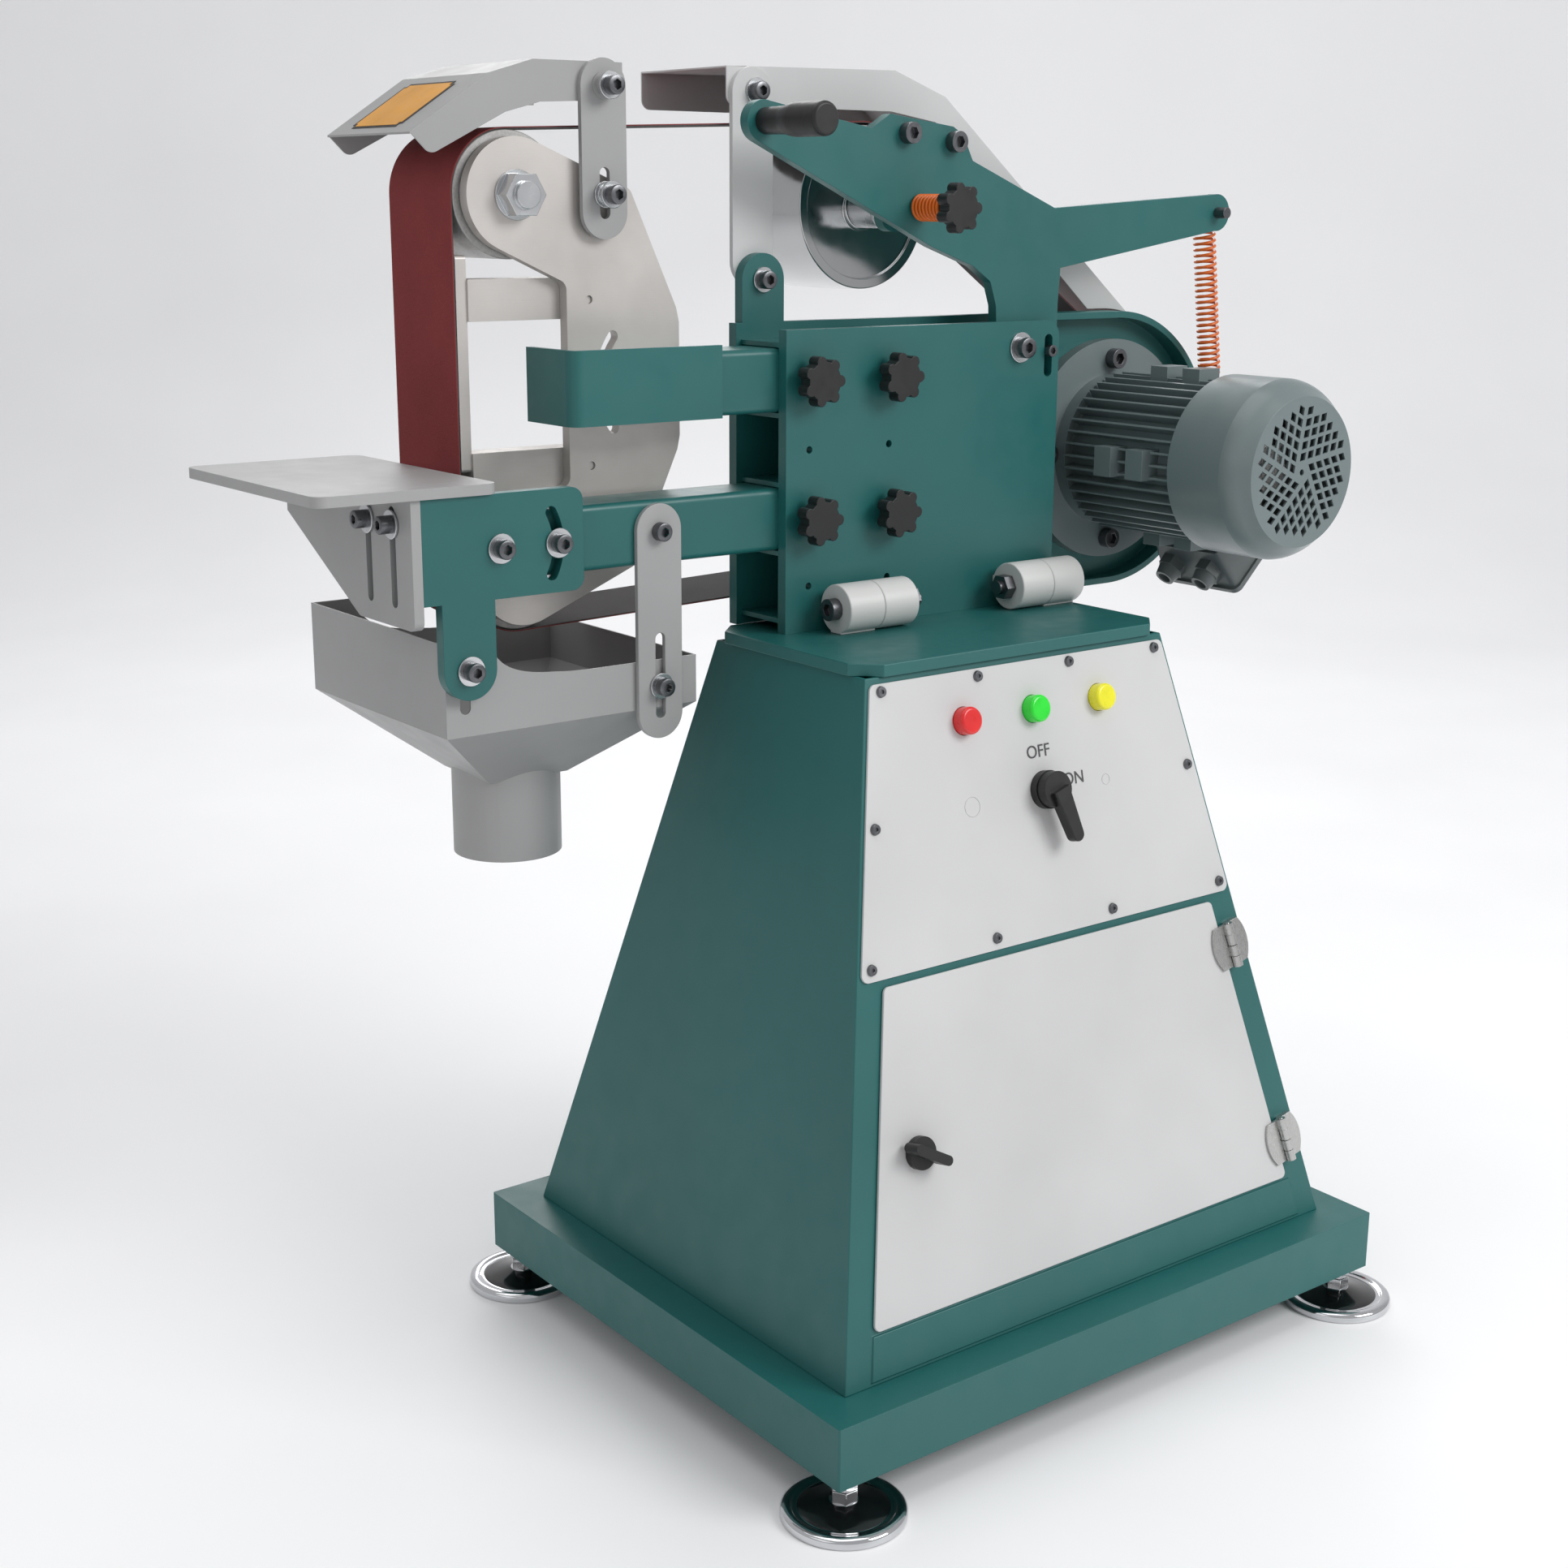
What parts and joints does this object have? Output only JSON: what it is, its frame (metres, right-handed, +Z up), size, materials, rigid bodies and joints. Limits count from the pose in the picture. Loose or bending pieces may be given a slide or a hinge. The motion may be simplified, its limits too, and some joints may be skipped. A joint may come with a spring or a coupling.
{
  "type": "pedestal belt grinder",
  "caption": "Tilting belt grinder head with flange motor, contact-wheel platen, tension lever, work rest and dust hopper on a tapered cabinet stand with levelling feet.",
  "frame": {"origin": "on the floor under the middle of the plinth", "axes": "+Z up, +X towards the motor, -Y towards the operator's side with the control panel"},
  "size_m": [0.953, 0.561, 1.052],
  "materials": {
    "teal_paint": "semi-gloss textured powder coat",
    "light_sheet": "matt light grey coat",
    "plate_grey": "ground steel, satin",
    "barrel_paint": "satin",
    "motor_paint": "satin enamel",
    "box_grey": "fine grain",
    "dark_steel": "blackened or zinc-plated fasteners",
    "satin_steel": "satin",
    "chrome": "polished",
    "cast_grey": "machined",
    "black_plastic": "moulded",
    "spring_orange": "gloss",
    "belt_red": "abrasive grain on cloth",
    "red_plastic": "gloss",
    "green_plastic": "gloss",
    "yellow_plastic": "gloss"
  },
  "bodies": {
    "stand": {"plinth": "teal_paint", "cabinet_shell": "teal_paint", "base_plate": "teal_paint", "control_panel": "light_sheet", "cabinet_screws": "dark_steel", "door_hinge_frames": "satin_steel", "base_barrels": "barrel_paint", "switch_bodies": "box_grey"},
    "foot_front_left": {"foot_front_left": "chrome"},
    "foot_front_right": {"foot_front_right": "chrome"},
    "foot_rear_left": {"foot_rear_left": "chrome"},
    "foot_rear_right": {"foot_rear_right": "chrome"},
    "door": {"door_panel": "light_sheet", "door_hinge_leaves": "satin_steel"},
    "latch": {"door_latch": "black_plastic"},
    "red_push": {"red_button": "red_plastic"},
    "green_push": {"green_button": "green_plastic"},
    "yellow_push": {"yellow_button": "yellow_plastic"},
    "selector": {"selector_lever": "black_plastic"},
    "head": {"near_plate": "teal_paint", "far_plate": "teal_paint", "slot_webs": "teal_paint", "motor_plate": "teal_paint", "head_barrels": "barrel_paint", "head_bolts": "dark_steel", "rear_guard": "light_sheet", "motor_frame": "motor_paint", "fan_cover": "motor_paint", "terminal_box": "box_grey", "belt_runs": "belt_red"},
    "rotor": {"motor_rotor": "satin_steel", "drive_wheel": "cast_grey"},
    "tension_arm": {"tension_lever": "teal_paint", "lever_grip": "black_plastic", "lever_bolts": "dark_steel", "tension_spring": "spring_orange", "tracking_spring": "spring_orange"},
    "tracking": {"tracking_plate": "teal_paint", "tracking_axle": "dark_steel", "belt_track_wrap": "belt_red"},
    "track_wheel": {"tracking_wheel": "chrome"},
    "track_knob": {"tracking_knob": "black_plastic"},
    "platen_arm": {"upper_arm": "teal_paint"},
    "platen": {"platen_plate": "plate_grey", "platen_frame": "plate_grey", "contact_axles": "dark_steel", "belt_front": "belt_red"},
    "top_wheel": {"upper_contact_wheel": "cast_grey"},
    "bottom_wheel": {"lower_contact_wheel": "cast_grey"},
    "belt_guard": {"front_guard": "light_sheet"},
    "rest_arm": {"lower_arm": "teal_paint", "hopper_strap": "light_sheet"},
    "rest": {"rest_bracket": "teal_paint", "rest_screws": "dark_steel"},
    "table": {"work_table": "light_sheet"},
    "dust_hopper": {"hopper": "light_sheet"},
    "knob_1": {"clamp_knob_1": "black_plastic"},
    "knob_2": {"clamp_knob_2": "black_plastic"},
    "knob_3": {"clamp_knob_3": "black_plastic"},
    "knob_4": {"clamp_knob_4": "black_plastic"}
  },
  "joints": [
    {"name": "head_tilt", "type": "hinge", "parent": "stand", "child": "head", "pos_m": [0, 0.0185, 0.6274], "axis": [1, 0, 0], "range_deg": [0, 90]},
    {"name": "foot_front_left_height", "type": "slide", "parent": "stand", "child": "foot_front_left", "axis": [0, 0, -1], "range_m": [0, 0.02]},
    {"name": "foot_front_right_height", "type": "slide", "parent": "stand", "child": "foot_front_right", "axis": [0, 0, -1], "range_m": [0, 0.02]},
    {"name": "foot_rear_left_height", "type": "slide", "parent": "stand", "child": "foot_rear_left", "axis": [0, 0, -1], "range_m": [0, 0.02]},
    {"name": "foot_rear_right_height", "type": "slide", "parent": "stand", "child": "foot_rear_right", "axis": [0, 0, -1], "range_m": [0, 0.02]},
    {"name": "door_hinge", "type": "hinge", "parent": "stand", "child": "door", "pos_m": [0.21292, -0.1862, 0.24514], "axis": [-0.2008, 0.2231, 0.9539], "range_deg": [0, 110]},
    {"name": "latch_turn", "type": "hinge", "parent": "door", "child": "latch", "pos_m": [-0.171, -0.1797, 0.24309], "axis": [0, -0.9737, 0.2278], "range_deg": [0, 90]},
    {"name": "red_press", "type": "slide", "parent": "stand", "child": "red_push", "axis": [0, 0.9737, -0.2278], "range_m": [0, 0.004], "stiffness_N_per_m": 600, "springref_m": -0.004},
    {"name": "green_press", "type": "slide", "parent": "stand", "child": "green_push", "axis": [0, 0.9737, -0.2278], "range_m": [0, 0.004], "stiffness_N_per_m": 600, "springref_m": -0.004},
    {"name": "yellow_press", "type": "slide", "parent": "stand", "child": "yellow_push", "axis": [0, 0.9737, -0.2278], "range_m": [0, 0.004], "stiffness_N_per_m": 600, "springref_m": -0.004},
    {"name": "selector_turn", "type": "hinge", "parent": "stand", "child": "selector", "pos_m": [0.006, -0.12348, 0.49046], "axis": [0, -0.9737, 0.2278], "range_deg": [0, 90]},
    {"name": "drive_spin", "type": "hinge", "parent": "head", "child": "rotor", "pos_m": [0.287, 0, 0.726], "axis": [0, 1, 0], "continuous": true},
    {"name": "top_wheel_spin", "type": "hinge", "parent": "platen", "child": "top_wheel", "pos_m": [-0.332, 0.17, 0.9505], "axis": [0, 1, 0], "continuous": true},
    {"name": "bottom_wheel_spin", "type": "hinge", "parent": "platen", "child": "bottom_wheel", "pos_m": [-0.332, 0.17, 0.6685], "axis": [0, 1, 0], "continuous": true},
    {"name": "track_wheel_spin", "type": "hinge", "parent": "tracking", "child": "track_wheel", "pos_m": [0.01, 0.17, 0.942], "axis": [0, 1, 0], "continuous": true},
    {"name": "upper_arm_slide", "type": "slide", "parent": "head", "child": "platen_arm", "axis": [1, 0, 0], "range_m": [-0.006, 0.03], "deforming": ["belt_runs"]},
    {"name": "lower_arm_slide", "type": "slide", "parent": "head", "child": "rest_arm", "axis": [1, 0, 0], "range_m": [-0.06, 0.004]},
    {"name": "platen_tilt", "type": "hinge", "parent": "platen_arm", "child": "platen", "pos_m": [-0.204, 0.114, 0.8095], "axis": [0, 1, 0], "range_deg": [-10, 0], "deforming": ["belt_runs"]},
    {"name": "belt_guard_height", "type": "slide", "parent": "platen", "child": "belt_guard", "axis": [0, 0, 1], "range_m": [-0.012, 0.014]},
    {"name": "rest_tilt", "type": "hinge", "parent": "rest_arm", "child": "rest", "pos_m": [-0.394, 0.044, 0.7005], "axis": [0, 1, 0], "range_deg": [-12, 5]},
    {"name": "table_height", "type": "slide", "parent": "rest", "child": "table", "axis": [0, 0, 1], "range_m": [0, 0.05]},
    {"name": "hopper_height", "type": "slide", "parent": "rest_arm", "child": "dust_hopper", "axis": [0, 0, 1], "range_m": [-0.02, 0.006]},
    {"name": "tension_swing", "type": "hinge", "parent": "head", "child": "tension_arm", "pos_m": [0.1173, 0.054, 0.8272], "axis": [0, 1, 0], "range_deg": [-8, 0], "stiffness_Nm_per_rad": 500, "springref_deg": 6.88, "deforming": ["belt_runs", "tension_spring"]},
    {"name": "tracking_tilt", "type": "hinge", "parent": "tension_arm", "child": "tracking", "pos_m": [0.01, 0.071, 1], "axis": [1, 0, 0], "range_deg": [-1.48, 1.48], "deforming": ["belt_runs"]},
    {"name": "tracking_knob_turn", "type": "hinge", "parent": "tension_arm", "child": "track_knob", "pos_m": [0.01, 0, 0.942], "axis": [0, 1, 0], "range_deg": [-360, 360], "deforming": ["tracking_spring"]},
    {"name": "clamp_knob_1_turn", "type": "hinge", "parent": "head", "child": "knob_1", "pos_m": [-0.1095, 0.02, 0.8095], "axis": [0, -1, 0], "range_deg": [0, 270]},
    {"name": "clamp_knob_2_turn", "type": "hinge", "parent": "head", "child": "knob_2", "pos_m": [-0.027, 0.02, 0.8095], "axis": [0, -1, 0], "range_deg": [0, 270]},
    {"name": "clamp_knob_3_turn", "type": "hinge", "parent": "head", "child": "knob_3", "pos_m": [-0.1095, 0.02, 0.6995], "axis": [0, -1, 0], "range_deg": [0, 270]},
    {"name": "clamp_knob_4_turn", "type": "hinge", "parent": "head", "child": "knob_4", "pos_m": [-0.027, 0.02, 0.6995], "axis": [0, -1, 0], "range_deg": [0, 270]}
  ],
  "couplings": [
    {"joint": "top_wheel_spin", "follows": "drive_spin", "ratio": 1.8617},
    {"joint": "bottom_wheel_spin", "follows": "drive_spin", "ratio": 1.8617},
    {"joint": "track_wheel_spin", "follows": "drive_spin", "ratio": 1.2963},
    {"joint": "tracking_knob_turn", "follows": "tracking_tilt", "ratio": 244}
  ]
}
